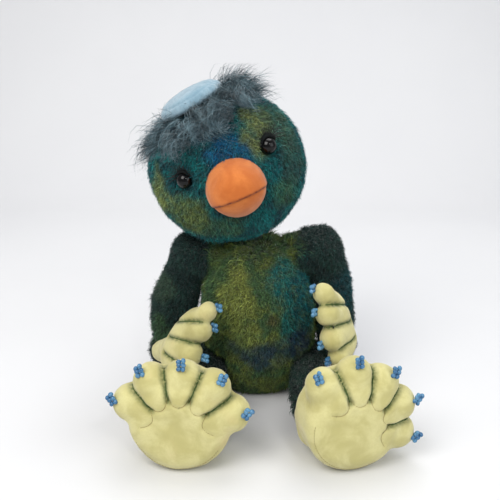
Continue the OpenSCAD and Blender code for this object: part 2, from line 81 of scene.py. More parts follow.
class Nodes:
    """Short calls for building a material's node tree."""

    def __init__(self, name):
        self.mat = bpy.data.materials.new(name)
        self.mat.use_nodes = True
        self.tree = self.mat.node_tree
        self.shader = self.tree.nodes["Principled BSDF"]
        self.coord = self.new("ShaderNodeTexCoord").outputs["Object"]

    def new(self, kind):
        return self.tree.nodes.new(kind)

    def link(self, a, b):
        self.tree.links.new(a, b)

    def put(self, socket, value):
        if isinstance(value, bpy.types.NodeSocket):
            self.link(value, socket)
        else:
            socket.default_value = value

    def set(self, **values):
        for name, value in values.items():
            self.put(self.shader.inputs[name.replace("_", " ")], value)

    def noise(self, size, detail=3.0, rough=0.55, warp=0.0, coord=None):
        """Noise whose features are about size millimetres across."""
        n = self.new("ShaderNodeTexNoise")
        self.link(coord or self.coord, n.inputs["Vector"])
        n.inputs["Scale"].default_value = 1 / (size * MM)
        n.inputs["Detail"].default_value = detail
        n.inputs["Roughness"].default_value = rough
        n.inputs["Distortion"].default_value = warp
        return n.outputs["Fac"]

    def math(self, op, a, b=0.0, clamp=False):
        n = self.new("ShaderNodeMath")
        n.operation = op
        n.use_clamp = clamp
        self.put(n.inputs[0], a)
        self.put(n.inputs[1], b)
        return n.outputs[0]

    def span(self, value, low, high, to_low=0.0, to_high=1.0):
        n = self.new("ShaderNodeMapRange")
        n.interpolation_type = "SMOOTHSTEP"
        self.put(n.inputs["Value"], value)
        n.inputs["From Min"].default_value = low
        n.inputs["From Max"].default_value = high
        n.inputs["To Min"].default_value = to_low
        n.inputs["To Max"].default_value = to_high
        return n.outputs["Result"]

    def mix(self, factor, a, b, how="MIX"):
        n = self.new("ShaderNodeMix")
        n.data_type = "RGBA"
        n.blend_type = how
        self.put(n.inputs[0], factor)
        self.put(n.inputs[6], a)
        self.put(n.inputs[7], b)
        return n.outputs[2]

    def attribute(self, name, output="Fac"):
        n = self.new("ShaderNodeAttribute")
        n.attribute_name = name
        return n.outputs[output]

    def warped(self, size, amount):
        """Object coordinates pushed about by noise, for soft uneven borders."""
        n = self.new("ShaderNodeTexNoise")
        self.link(self.coord, n.inputs["Vector"])
        n.inputs["Scale"].default_value = 1 / (size * MM)
        n.inputs["Detail"].default_value = 4.0
        shift = self.new("ShaderNodeVectorMath")
        shift.operation = "SUBTRACT"
        self.link(n.outputs["Color"], shift.inputs[0])
        shift.inputs[1].default_value = (0.5, 0.5, 0.5)
        scaled = self.new("ShaderNodeVectorMath")
        scaled.operation = "SCALE"
        self.link(shift.outputs[0], scaled.inputs[0])
        scaled.inputs["Scale"].default_value = amount * MM
        total = self.new("ShaderNodeVectorMath")
        total.operation = "ADD"
        self.link(self.coord, total.inputs[0])
        self.link(scaled.outputs[0], total.inputs[1])
        return total.outputs[0]

    def near(self, coord, centre, size):
        """1 at a point of the object, falling to 0 outside an ellipsoid (millimetres)."""
        shift = self.new("ShaderNodeVectorMath")
        shift.operation = "SUBTRACT"
        self.link(coord, shift.inputs[0])
        shift.inputs[1].default_value = [c * MM for c in centre]
        scaled = self.new("ShaderNodeVectorMath")
        scaled.operation = "DIVIDE"
        self.link(shift.outputs[0], scaled.inputs[0])
        scaled.inputs[1].default_value = [s * MM for s in size]
        length = self.new("ShaderNodeVectorMath")
        length.operation = "LENGTH"
        self.link(scaled.outputs[0], length.inputs[0])
        return self.span(length.outputs["Value"], 0.55, 1.1, 1.0, 0.0)

    def bump(self, height, strength=0.3, distance=0.3, normal=None):
        n = self.new("ShaderNodeBump")
        n.inputs["Strength"].default_value = strength
        n.inputs["Distance"].default_value = distance * MM
        self.link(height, n.inputs["Height"])
        if normal is not None:
            self.link(normal, n.inputs["Normal"])
        self.link(n.outputs["Normal"], self.shader.inputs["Normal"])
        return n.outputs["Normal"]


# ---------------------------------------------------------------- frames of the parts

def unit(v):
    return Vector(v).normalized()


class Place:
    """An origin and three axes; points go in and out in millimetres."""

    def __init__(self, origin, x, y, z):
        self.o = np.array(origin, float)
        self.axes = np.array([unit(x), unit(y), unit(z)], float)

    def out(self, p):
        """Local millimetres to metres in the row frame."""
        return self.o + np.asarray(p, float) @ self.axes * MM

    def into(self, p):
        return (np.asarray(p, float) - self.o) @ self.axes.T / MM

    def way(self, d):
        return np.asarray(d, float) @ self.axes

    def turned(self, at, degrees):
        """The place at a local point, with axes turned about X, then Y, then Z."""
        x, y, z = (math.radians(d) for d in degrees)
        r = Matrix.Rotation(z, 3, "Z") @ Matrix.Rotation(y, 3, "Y") @ Matrix.Rotation(x, 3, "X")
        cols = np.array(r).T @ self.axes
        return Place(self.out(at), *cols)


def centre(node):
    low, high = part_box(node)
    return (low + high) / 2


LEFT, RIGHT = "left", "right"
head_axis = unit(JOINTS["head_turn"]["axis"])
torso_axis = unit(JOINTS["neck_turn"]["axis"])
Y = Vector((0, 1, 0))
head_mid = centre("head_cover")
HEAD = Place(head_mid, Y.cross(head_axis), Y, head_axis)
head_low, head_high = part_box("head_cover")
HEAD_R = (head_high.x - head_low.x) / 2 / MM
TORSO = Place((0, 0, 0), Y.cross(torso_axis), Y, torso_axis)


def shoulder(side):
    j = JOINTS[side + "_shoulder"]
    x = -Vector(j["axis"])
    sign = 1
    if side == RIGHT:
        x, sign = -x, -1
    z = x.cross(Y) * sign
    return Place(j["pos_m"], x, Y, z)


def hand_place(side):
    at, turn = (([14, -46, -41.5], [-13, -6, -26]) if side == LEFT
                else ([9, -45, -49], [-13, -14, -36]))
    return shoulder(side).turned(at, turn)


def hip(side):
    j = JOINTS[side + "_hip"]
    x = Vector((1 if side == LEFT else -1, 0, 0))
    return Place(j["pos_m"], x, Y, (0, 0, 1))


def foot_place(side):
    at, turn = ([36, -117, 11.5], [0, 37, 15]) if side == LEFT else ([27, -117, 11.5], [0, -4, 5])
    return hip(side).turned(at, turn)


def on_head(side, up, r=HEAD_R):
    """A point of the head, at angles to the side of the face and above its middle."""
    s, u = math.radians(side), math.radians(up)
    d = np.array([math.sin(s) * math.cos(u), -math.cos(s) * math.cos(u), math.sin(u)])
    return HEAD.out(d * r)


# ---------------------------------------------------------------- meshes

def add_object(name, mesh, material=None, smooth=True):
    obj = bpy.data.objects.new(name, mesh)
    SCENE.collection.objects.link(obj)
    if material is not None:
        mesh.materials.clear()
        mesh.materials.append(material)
    if smooth:
        mesh.polygons.foreach_set("use_smooth", np.ones(len(mesh.polygons), bool))
    return obj


def mesh_from(name, points, faces):
    mesh = bpy.data.meshes.new(name)
    mesh.from_pydata([tuple(p) for p in points], [], [tuple(f) for f in faces])
    mesh.update()
    return mesh


def applied(obj):
    """Replaces an object's mesh with what its modifiers make of it."""
    bpy.context.view_layer.update()
    shaped = bpy.data.meshes.new_from_object(
        obj.evaluated_get(bpy.context.evaluated_depsgraph_get()))
    old = obj.data
    obj.modifiers.clear()
    obj.data = shaped
    bpy.data.meshes.remove(old)
    return obj


def largest_part(mesh):
    """Deletes all but the largest connected part of a mesh."""
    bm = bmesh.new()
    bm.from_mesh(mesh)
    left = set(bm.verts)
    best = []
    while left:
        start = left.pop()
        part, todo = [start], [start]
        while todo:
            v = todo.pop()
            for e in v.link_edges:
                o = e.other_vert(v)
                if o in left:
                    left.remove(o)
                    part.append(o)
                    todo.append(o)
        if len(part) > len(best):
            best = part
    keep = set(best)
    bmesh.ops.delete(bm, geom=[v for v in bm.verts if v not in keep], context="VERTS")
    bm.to_mesh(mesh)
    bm.free()


def solid(name, nodes, voxel, smooth=4, grow=0.0, close=0.0):
    """One closed skin around the outside of some CAD nodes. close fills narrow notches
    by growing the shape and drawing it in again."""
    bm = bmesh.new()
    for n in nodes:
        bm.from_mesh(NODES[n].data)
    mesh = bpy.data.meshes.new(name)
    bm.to_mesh(mesh)
    bm.free()
    obj = add_object(name, mesh)
    for extra in (0.0, close):
        if extra:
            m = obj.modifiers.new("swell", "DISPLACE")
            m.strength = extra * MM
            m.mid_level = 0.0
        m = obj.modifiers.new("voxels", "REMESH")
        m.mode = "VOXEL"
        m.voxel_size = voxel * MM
        applied(obj)
        largest_part(obj.data)
        if not close:
            break
    if grow or close:
        m = obj.modifiers.new("grow", "DISPLACE")
        m.strength = (grow - close) * MM
        m.mid_level = 0.0
    if smooth:
        m = obj.modifiers.new("smooth", "SMOOTH")
        m.factor = 0.5
        m.iterations = smooth
    applied(obj)
    obj.data.polygons.foreach_set("use_smooth", np.ones(len(obj.data.polygons), bool))
    return obj


def points_of(mesh):
    co = np.zeros(len(mesh.vertices) * 3)
    mesh.vertices.foreach_get("co", co)
    return co.reshape(-1, 3)


def normals_of(mesh):
    n = np.zeros(len(mesh.vertices) * 3)
    mesh.vertices.foreach_get("normal", n)
    return n.reshape(-1, 3)


def move_points(mesh, co):
    co = np.array(co)
    co[:, 2] = np.maximum(co[:, 2], 0)
    mesh.vertices.foreach_set("co", np.ascontiguousarray(co, dtype=np.float32).ravel())
    mesh.update()


def paint(mesh, name, values):
    a = mesh.attributes.get(name) or mesh.attributes.new(name, "FLOAT", "POINT")
    a.data.foreach_set("value", np.ascontiguousarray(values, dtype=np.float32))


def lumps(p, size, seed, waves=14):
    """Smooth uneven values about 0, from -1 to 1, with lumps about size millimetres."""
    r = np.random.default_rng(seed)
    total = np.zeros(len(p))
    for _ in range(waves):
        k = r.normal(size=3)
        k *= 2 * math.pi / (size * MM * (0.7 + r.random())) / np.linalg.norm(k) / 2
        total += np.sin(p @ k + r.random() * 6.28)
    return total / math.sqrt(waves)


def tube(name, path, radius, material, sides=8, taper=None):
    """A round tube along points in metres, with its radius in millimetres."""
    path = [Vector(p) for p in path]
    points, faces = [], []
    up = Vector((0.3, 0.5, 0.8))
    for i, p in enumerate(path):
        t = (path[min(i + 1, len(path) - 1)] - path[max(i - 1, 0)]).normalized()
        a = t.cross(up).normalized()
        b = t.cross(a)
        r = radius * MM * (taper(i / (len(path) - 1)) if taper else 1)
        for k in range(sides):
            w = 2 * math.pi * k / sides
            points.append(p + (a * math.cos(w) + b * math.sin(w)) * r)
    for i in range(len(path) - 1):
        for k in range(sides):
            q = (k + 1) % sides
            faces.append((i * sides + k, i * sides + q, (i + 1) * sides + q, (i + 1) * sides + k))
    faces.append(tuple(range(sides - 1, -1, -1)))
    last = (len(path) - 1) * sides
    faces.append(tuple(last + k for k in range(sides)))
    return add_object(name, mesh_from(name, points, faces), material)


def joined(name, objects):
    """Joins objects into the first one, under a new name."""
    bm = bmesh.new()
    for o in objects:
        bm.from_mesh(o.data)
    mesh = bpy.data.meshes.new(name)
    bm.to_mesh(mesh)
    bm.free()
    material = objects[0].data.materials[0]
    for o in objects:
        bpy.data.objects.remove(o)
    return add_object(name, mesh, material)


def bvh(obj):
    return BVHTree.FromPolygons(
        [v.co for v in obj.data.vertices], [p.vertices for p in obj.data.polygons])


# ---------------------------------------------------------------- fur

def sample(mesh, count, rng, weight=None):
    """Roots spread evenly over a mesh: points and normals."""
    mesh.calc_loop_triangles()
    tri = np.zeros(len(mesh.loop_triangles) * 3, np.int32)
    mesh.loop_triangles.foreach_get("vertices", tri)
    tri = tri.reshape(-1, 3)
    co, no = points_of(mesh), normals_of(mesh)
    a, b, c = co[tri[:, 0]], co[tri[:, 1]], co[tri[:, 2]]
    area = np.linalg.norm(np.cross(b - a, c - a), axis=1)
    if weight is not None:
        area = area * weight((a + b + c) / 3)
    pick = rng.choice(len(tri), size=count, p=area / area.sum())
    u, v = rng.random(count), rng.random(count)
    flip = u + v > 1
    u[flip], v[flip] = 1 - u[flip], 1 - v[flip]
    w = 1 - u - v
    t = tri[pick]
    p = co[t[:, 0]] * w[:, None] + co[t[:, 1]] * u[:, None] + co[t[:, 2]] * v[:, None]
    n = no[t[:, 0]] * w[:, None] + no[t[:, 1]] * u[:, None] + no[t[:, 2]] * v[:, None]
    return p, n / np.linalg.norm(n, axis=1)[:, None]


def normed(v):
    return v / np.maximum(np.linalg.norm(v, axis=1), 1e-12)[:, None]


def blades(name, roots, normals, comb, length, width, material, rng,
           lift=0.6, lay=0.6, mess=0.45, curl=0.12, turns=0.8, steps=3, sink=0.6,
           gather=0.0, phase=None, tone=None):
    """Tapered curved strands as one mesh, none of it below the floor. length and width are
    arrays in millimetres. gather draws tips together into locks."""
    n = len(roots)
    comb = comb - normals * np.sum(comb * normals, axis=1)[:, None]
    comb = normed(comb)
    side = np.cross(normals, comb)
    angle = rng.normal(0, mess, n)
    comb = comb * np.cos(angle)[:, None] + side * np.sin(angle)[:, None]
    side = np.cross(normals, comb)
    lifts = np.clip(lift + rng.normal(0, 0.18, n), 0.1, 1.3)[:, None]
    bend = lay * (0.5 + rng.random(n))[:, None]
    phase = rng.random(n) * 2 * math.pi if phase is None else phase
    twist = turns * (0.6 + 0.8 * rng.random(n))
    size = (length * MM)[:, None]
    rows = []
    for i in range(steps + 1):
        s = i / steps
        a = phase + twist * 2 * math.pi * s
        wave = (side * np.cos(a)[:, None] + normals * np.sin(a)[:, None]) * (curl * min(1, s * 2))
        rows.append(roots - normals * sink * MM
                    + size * (normals * lifts * s * (1 - 0.35 * s)
                              + comb * bend * (0.35 * s + 0.65 * s * s) + wave)
                    + gather * s)
    flat = normed(np.cross(normed(rows[-1] - rows[0]), rng.normal(size=(n, 3))))
    points, per = [], 2 * steps + 1
    for i in range(steps):
        w = (width * MM / 2 * (1 - (i / steps)) ** 0.6)[:, None]
        points += [rows[i] - flat * w, rows[i] + flat * w]
    points.append(rows[-1])
    co = np.stack(points, axis=1).reshape(-1, 3)
    co[:, 2] = np.maximum(co[:, 2], 0.1 * MM)
    base = (np.arange(n) * per)[:, None]
    quads = np.concatenate([base + np.array([[2 * i, 2 * i + 1, 2 * i + 3, 2 * i + 2]])
                            for i in range(steps - 1)], axis=0) if steps > 1 else np.zeros((0, 4), int)
    tips = base + np.array([[2 * steps - 2, 2 * steps - 1, 2 * steps]])
    mesh = bpy.data.meshes.new(name)
    mesh.vertices.add(len(co))
    mesh.vertices.foreach_set("co", co.astype(np.float32).ravel())
    loops = np.concatenate([quads.ravel(), tips.ravel()]).astype(np.int32)
    mesh.loops.add(len(loops))
    mesh.loops.foreach_set("vertex_index", loops)
    starts = np.concatenate([np.arange(len(quads)) * 4, len(quads) * 4 + np.arange(n) * 3])
    totals = np.concatenate([np.full(len(quads), 4), np.full(n, 3)])
    mesh.polygons.add(len(starts))
    mesh.polygons.foreach_set("loop_start", starts.astype(np.int32))
    mesh.polygons.foreach_set("loop_total", totals.astype(np.int32))
    mesh.update(calc_edges=True)
    along = np.tile(np.concatenate([np.repeat(np.arange(steps) / steps, 2), [1.0]]), n)
    paint(mesh, "along", along)
    paint(mesh, "tone", np.repeat(rng.random(n) if tone is None else tone, per))
    return add_object(name, mesh, material)


def fur(name, skin, count, material, flow, length, width=0.5, weight=None, seed=1, **shape):
    """Covers a skin with short strands; flow gives their direction at points."""
    rng = np.random.default_rng(seed)
    roots, normals = sample(skin.data, int(count * FUR_SHARE), rng, weight)
    n = len(roots)
    sizes = length * (0.65 + 0.6 * rng.random(n)) * (1 + 0.2 * lumps(roots, 14, seed))
    widths = width * (0.7 + 0.6 * rng.random(n)) * 1
    return blades(name, roots, normals, flow(roots), sizes, widths, material, rng, **shape)


# ---------------------------------------------------------------- materials

def fur_colour(k, zones, base):
    """Blotchy dye: a base colour with patches, as (place, size, colour, strength)."""
    coord = k.warped(22, 26)
    colour = k.mix(k.span(k.noise(9, 4), 0.4, 0.62), base[0], base[1])
    for place, size, tint, strength in zones:
        mask = k.near(coord, place, size)
        mottle = k.span(k.noise(5, 4), 0.3, 0.6, 0.45, 1.0)
        colour = k.mix(k.math("MULTIPLY", k.math("MULTIPLY", mask, mottle), strength), colour, tint)
    return colour


def mohair(name, base, zones=(), light=1.0):
    """The two materials of a furry part: its strands and the skin under them."""
    pair = []
    for kind in ("strands", "skin"):
        k = Nodes(f"{name}_{kind}")
        colour = fur_colour(k, zones, base)
        if kind == "strands":
            # Strands darker at the root and lighter at the tip: painted shade deep in the fur and painted
            # highlight at the tips, times a random tone per strand
            tone = k.span(k.attribute("tone"), 0.0, 1.0, 0.55, 1.5 * light)
            shade = k.span(k.attribute("along"), 0.0, 0.9, 0.35, 1.25)
            tone_and_root_shade = k.math("MULTIPLY", tone, shade)
            both = k.new("ShaderNodeCombineColor")
            for s in both.inputs[:3]:
                k.link(tone_and_root_shade, s)
            colour = k.mix(1.0, colour, both.outputs[0], "MULTIPLY")
            k.set(Roughness=0.55, Sheen_Weight=0.25, Sheen_Roughness=0.4)
        else:
            # The skin under the strands is darkened with fine noise: painted shade in the depth of the fur
            dark = k.span(k.noise(1.2, 2), 0.3, 0.7, 0.25, 0.6)
            both = k.new("ShaderNodeCombineColor")
            for s in both.inputs[:3]:
                k.link(dark, s)
            colour = k.mix(1.0, colour, both.outputs[0], "MULTIPLY")
            k.bump(k.noise(1.0, 3), 0.5, 0.6)
            k.set(Roughness=0.9)
        k.put(k.shader.inputs["Base Color"], colour)
        k.shader.inputs["Specular IOR Level"].default_value = 0.3
        pair.append(k.mat)
    return pair


def suede(name, light, dark, tint, groove=None, nap=0.25):
    """Napped leather: soft blotches, fine grain, darker seams from the groove attribute; on the beak this
    seam colour is painted shade in the mouth crease.
    """
    k = Nodes(name)
    colour = k.mix(k.span(k.noise(16, 4, warp=0.4), 0.35, 0.65), dark, light)
    colour = k.mix(k.span(k.noise(30, 3), 0.55, 0.75, 0.0, 0.35), colour, tint)
    colour = k.mix(k.span(k.noise(1.1, 3), 0.35, 0.7, 0.0, 0.22), colour, dark)
    if groove is not None:
        mottle = k.span(k.noise(2.5, 3), 0.3, 0.65, 0.5, 1.0)
        colour = k.mix(k.math("MULTIPLY", k.attribute("groove"), mottle, clamp=True), colour, groove)
    k.put(k.shader.inputs["Base Color"], colour)
    k.set(Roughness=0.88, Sheen_Weight=nap, Sheen_Roughness=0.5)
    k.shader.inputs["Specular IOR Level"].default_value = 0.25
    first = k.bump(k.noise(0.5, 4, 0.7), 0.35, 0.25)
    k.bump(k.noise(4.0, 3), 0.25, 0.6, first)
    return k.mat


def plain(name, colour, rough, spec=0.5, bump=None, **more):
    k = Nodes(name)
    k.put(k.shader.inputs["Base Color"], colour if not callable(colour) else colour(k))
    k.set(Roughness=rough, **more)
    k.shader.inputs["Specular IOR Level"].default_value = spec
    if bump:
        k.bump(k.noise(bump[0], 3), bump[1], bump[2])
    return k.mat


TEAL = srgb(4, 104, 104)
DEEP_TEAL = srgb(2, 66, 74)
NAVY = srgb(6, 46, 78)
BLUE = srgb(0, 84, 130)
OLIVE = srgb(104, 118, 56)
LIME = srgb(134, 143, 68)
MOSS = srgb(66, 98, 60)
BROWN = srgb(92, 84, 46)
DARK = srgb(12, 38, 36)

head_strands, head_skin_mat = mohair("head_mohair", (TEAL, DEEP_TEAL), [
    (on_head(8, 18) / MM, (18, 20, 16), BLUE, 0.75),
    (on_head(-5, 48) / MM, (22, 20, 20), NAVY, 0.6),
    (on_head(40, 26) / MM, (12, 26, 26), srgb(120, 128, 68), 0.85),
    (on_head(-42, -14) / MM, (20, 22, 20), OLIVE, 0.85),
    (on_head(-20, -36) / MM, (18, 22, 12), MOSS, 0.7),
    (on_head(-66, 6) / MM, (12, 20, 20), LIME, 0.75),
    (on_head(44, -26) / MM, (14, 22, 14), MOSS, 0.7),
    (on_head(64, 20) / MM, (16, 22, 24), srgb(62, 86, 60), 0.8),
    (on_head(60, -8) / MM, (15, 20, 20), srgb(44, 78, 66), 0.8),
    (on_head(150, 20) / MM, (26, 26, 24), OLIVE, 0.6),
    (on_head(-150, -10) / MM, (26, 26, 26), BLUE, 0.6),
    (on_head(180, -50) / MM, (24, 24, 20), LIME, 0.5),
], light=1.1)
torso_strands, torso_skin_mat = mohair("torso_mohair", (MOSS, OLIVE), [
    ((-22, -40, 92), (14, 22, 30), LIME, 0.9),
    ((-14, -44, 60), (12, 18, 26), LIME, 0.55),
    ((-38, -24, 94), (12, 20, 26), MOSS, 0.7),
    ((14, -34, 96), (12, 20, 26), TEAL, 0.95),
    ((18, -38, 66), (10, 18, 26), TEAL, 0.9),
    ((31, -24, 82), (13, 24, 40), srgb(2, 92, 98), 1.0),
    ((26, -36, 44), (16, 20, 18), NAVY, 0.9),
    ((6, -46, 68), (5, 10, 7), BROWN, 0.8),
    ((-4, -46, 42), (26, 18, 13), NAVY, 0.8),
    ((0, -40, 14), (26, 20, 12), OLIVE, 0.8),
    ((-40, 0, 60), (20, 24, 20), TEAL, 0.6),
    ((10, 42, 70), (26, 24, 26), TEAL, 0.7),
    ((-24, 36, 90), (20, 24, 16), LIME, 0.6),
    ((-10, 40, 30), (30, 24, 16), NAVY, 0.6),
], light=1.1)
arm_zones = {
    LEFT: [((64, -6, 78), (16, 20, 22), DEEP_TEAL, 0.7), ((66, -20, 44), (16, 20, 16), NAVY, 0.5),
           ((58, 12, 60), (16, 16, 16), MOSS, 0.6)],
    RIGHT: [((-78, -8, 80), (14, 18, 14), srgb(60, 80, 60), 0.6), ((-80, -14, 50), (14, 18, 12), MOSS, 0.6),
            ((-74, 12, 40), (16, 16, 16), DEEP_TEAL, 0.6)],
}
arm_mats = {s: mohair(f"{s}_arm_mohair", (DARK, srgb(26, 54, 48)), arm_zones[s], light=1.35)
            for s in (LEFT, RIGHT)}
leg_strands, leg_skin_mat = mohair("leg_mohair", (DARK, srgb(24, 58, 48)), [
    ((45, -70, 24), (14, 16, 14), MOSS, 0.6), ((-45, -50, 24), (14, 16, 14), MOSS, 0.6)])

SUEDE_LIGHT, SUEDE_DARK = srgb(206, 199, 142), srgb(184, 176, 116)
foot_suede = suede("foot_suede", SUEDE_LIGHT, SUEDE_DARK, srgb(214, 190, 140), srgb(58, 80, 36))
# The beak's groove colour, srgb(92, 30, 14), is painted shade for the mouth crease
beak_suede = suede("beak_suede", srgb(206, 120, 56), srgb(184, 98, 40), srgb(214, 138, 72),
                   srgb(92, 30, 14))
stitch_green = plain("stitch_green", srgb(60, 84, 42), 0.8, 0.3, (0.4, 0.4, 0.2))
stitch_brown = plain("stitch_brown", srgb(132, 112, 66), 0.8, 0.3, (0.4, 0.4, 0.2))
eye_glass = plain("eye_glass", lambda k: k.mix(k.span(k.noise(3, 2), 0.3, 0.7), srgb(1, 1, 2), srgb(5, 4, 4)),
                  0.05, 0.28)
lash_black = plain("lash_black", lambda k: k.mix(k.noise(1, 2), srgb(8, 8, 9), srgb(24, 24, 26)), 0.5, 0.4)
lid_cloth = plain("lid_cloth", lambda k: k.mix(k.noise(2, 3), srgb(8, 11, 12), srgb(20, 25, 25)),
                  0.9, 0.2, (0.6, 0.6, 0.4))
claw_glass = plain("claw_beads", lambda k: k.mix(k.span(k.noise(6, 2), 0.35, 0.65),
                   srgb(50, 98, 138), srgb(90, 140, 174)), 0.2, 0.5)
steel = plain("zinc_steel", lambda k: k.mix(k.noise(2, 3), srgb(150, 150, 152), srgb(185, 186, 188)),
              0.32, 0.5, (0.8, 0.15, 0.1), Metallic=1.0)
board = plain("pressed_board", lambda k: k.mix(k.noise(1.5, 5), srgb(96, 66, 42), srgb(126, 92, 60)),
              0.8, 0.3, (0.6, 0.4, 0.2))
wool = plain("fibre_filling", lambda k: k.mix(k.noise(3, 4), srgb(214, 212, 204), srgb(238, 236, 230)),
             0.95, 0.1, (1.2, 0.8, 1.0), Sheen_Weight=0.4)


def felt_material():
    k = Nodes("dish_felt")
    colour = k.mix(k.span(k.noise(7, 4), 0.35, 0.65), srgb(126, 156, 172), srgb(148, 174, 187))
    colour = k.mix(k.span(k.noise(0.7, 4, 0.7), 0.4, 0.7, 0.0, 0.5), colour, srgb(106, 134, 152))
    k.put(k.shader.inputs["Base Color"], colour)
    k.set(Roughness=0.95, Sheen_Weight=0.5, Sheen_Roughness=0.5)
    k.shader.inputs["Specular IOR Level"].default_value = 0.15
    k.bump(k.noise(0.5, 5, 0.75, 0.5), 0.6, 0.4)
    return k.mat


def crown_material():
    k = Nodes("crown_mohair")
    colour = k.mix(k.span(k.noise(8, 4), 0.35, 0.65), srgb(34, 54, 62), srgb(80, 104, 112))
    # Locks darker at the root and lighter at the tip: painted shade and painted highlight, times a random
    # tone per lock
    tone_and_root_shade = k.math("MULTIPLY", k.span(k.attribute("tone"), 0.0, 1.0, 0.55, 1.7),
                  k.span(k.attribute("along"), 0.0, 0.8, 0.4, 1.2))
    both = k.new("ShaderNodeCombineColor")
    for s in both.inputs[:3]:
        k.link(tone_and_root_shade, s)
    k.put(k.shader.inputs["Base Color"], k.mix(1.0, colour, both.outputs[0], "MULTIPLY"))
    k.set(Roughness=0.42, Sheen_Weight=0.2)
    return k.mat


# ---------------------------------------------------------------- torso

def piece(obj, body, slot, *replaced):
    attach(obj, body)
    if replaced:
        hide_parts(*replaced)
    return obj


torso_skin = solid("torso_skin", ["torso_cover", "torso_stuffing"], 1.8, 3)
torso_skin.data.materials.append(torso_skin_mat)
piece(torso_skin, "torso", "torso_mohair", "torso_cover")


def torso_weight(c):
    p = TORSO.into(c)
    seat = np.where(c[:, 2] < 0.4 * MM, 0.0, 1.0)
    return seat * np.where(p[:, 2] > 112, 0.6, 1.0)


def torso_flow(p):
    out = p - np.array([0, 0, 0.05])
    return np.array([0, 0, -1.0]) + out * 2


for part, (seed, way) in {"front": (21, 1), "back": (22, -1)}.items():
    fur(f"torso_fur_{part}", torso_skin, BODY_STRANDS, torso_strands, torso_flow, 5.2, 0.5,
        weight=lambda c, w=way: torso_weight(c) * (c[:, 1] * -w > -0.002), seed=seed,
        lift=0.62, lay=0.55, mess=0.6, curl=0.16)
    piece(bpy.data.objects[f"torso_fur_{part}"], "torso", "torso_mohair")

# Longer fur round the top of the torso hides the neck joint
neck_ring = fur("torso_neck_fur", torso_skin, NECK_STRANDS, torso_strands,
                lambda p: p - TORSO.out([0, 0, 100]), 7.5, 0.6,
                weight=lambda c: (TORSO.into(c)[:, 2] > 106) * 1.0, seed=23,
                lift=0.85, lay=0.6, mess=0.6, curl=0.16)
piece(neck_ring, "torso", "torso_mohair")

# ---------------------------------------------------------------- head

head_skin = solid("head_skin", ["head_cover", "head_stuffing"], 2.0, 3)
head_skin.data.materials.append(head_skin_mat)
shape = HEAD.into(points_of(head_skin.data))
# The head is fuller on its -X side, most of all above its middle
fuller = 1.085 + 0.055 * np.clip(shape[:, 2] / 25, 0, 1)
shape[:, 0] = np.where(shape[:, 0] < 0, shape[:, 0] * fuller, shape[:, 0])
move_points(head_skin.data, HEAD.out(shape))
piece(head_skin, "head", "head_mohair", "head_cover")

EYES = {s: centre(f"{s}_eye") for s in (LEFT, RIGHT)}
BEAK_UP = -8
FACE_TURN = 3
beak_way = unit(HEAD.way(HEAD.into(on_head(FACE_TURN, BEAK_UP)) / HEAD_R))
CROWN = (-60, 81)
crown_way = unit(HEAD.way(HEAD.into(on_head(*CROWN)) / HEAD_R))
EYE_WAYS = []
for s in (LEFT, RIGHT):
    side = FACE_TURN + (EYE_SIDE if s == LEFT else -EYE_SIDE)
    EYE_WAYS.append(unit(HEAD.way(HEAD.into(on_head(side, EYE_UP)) / HEAD_R)))


def head_weight(c):
    d = normed(c - np.array(head_mid))
    w = np.ones(len(c))
    w[np.degrees(np.arccos(np.clip(d @ np.array(beak_way), -1, 1))) < 20.5] = 0
    for e in EYE_WAYS:
        w[np.degrees(np.arccos(np.clip(d @ np.array(e), -1, 1))) < 7.4] = 0
    w[np.degrees(np.arccos(np.clip(d @ np.array(crown_way), -1, 1))) < 20] = 0
    return w


def head_flow(p):
    """Down the head and away from the beak, and round the eyes."""
    d = normed(p - np.array(head_mid))
    away = d - np.array(beak_way)
    return -np.array(head_axis) * 1.2 + away * 0.5


for part, (seed, way) in {"face": (31, 1), "back": (32, -1)}.items():
    fur(f"head_fur_{part}", head_skin, BODY_STRANDS, head_strands, head_flow, 5.0, 0.5,
        weight=lambda c, w=way: head_weight(c) * ((c[:, 1]) * -w > -0.002), seed=seed,
        lift=0.5, lay=0.7, mess=0.6, curl=0.16)
    piece(bpy.data.objects[f"head_fur_{part}"], "head", "head_mohair")

# Beak: two stuffed suede halves with a rolled mouth line
beak_x = unit(HEAD.way([math.cos(math.radians(FACE_TURN)), math.sin(math.radians(FACE_TURN)), 0]))
BEAK = Place(head_mid, beak_x, beak_way.cross(beak_x), beak_way)


BEAK_R, BEAK_OUT, MOUTH_Y = 21, 19, -4


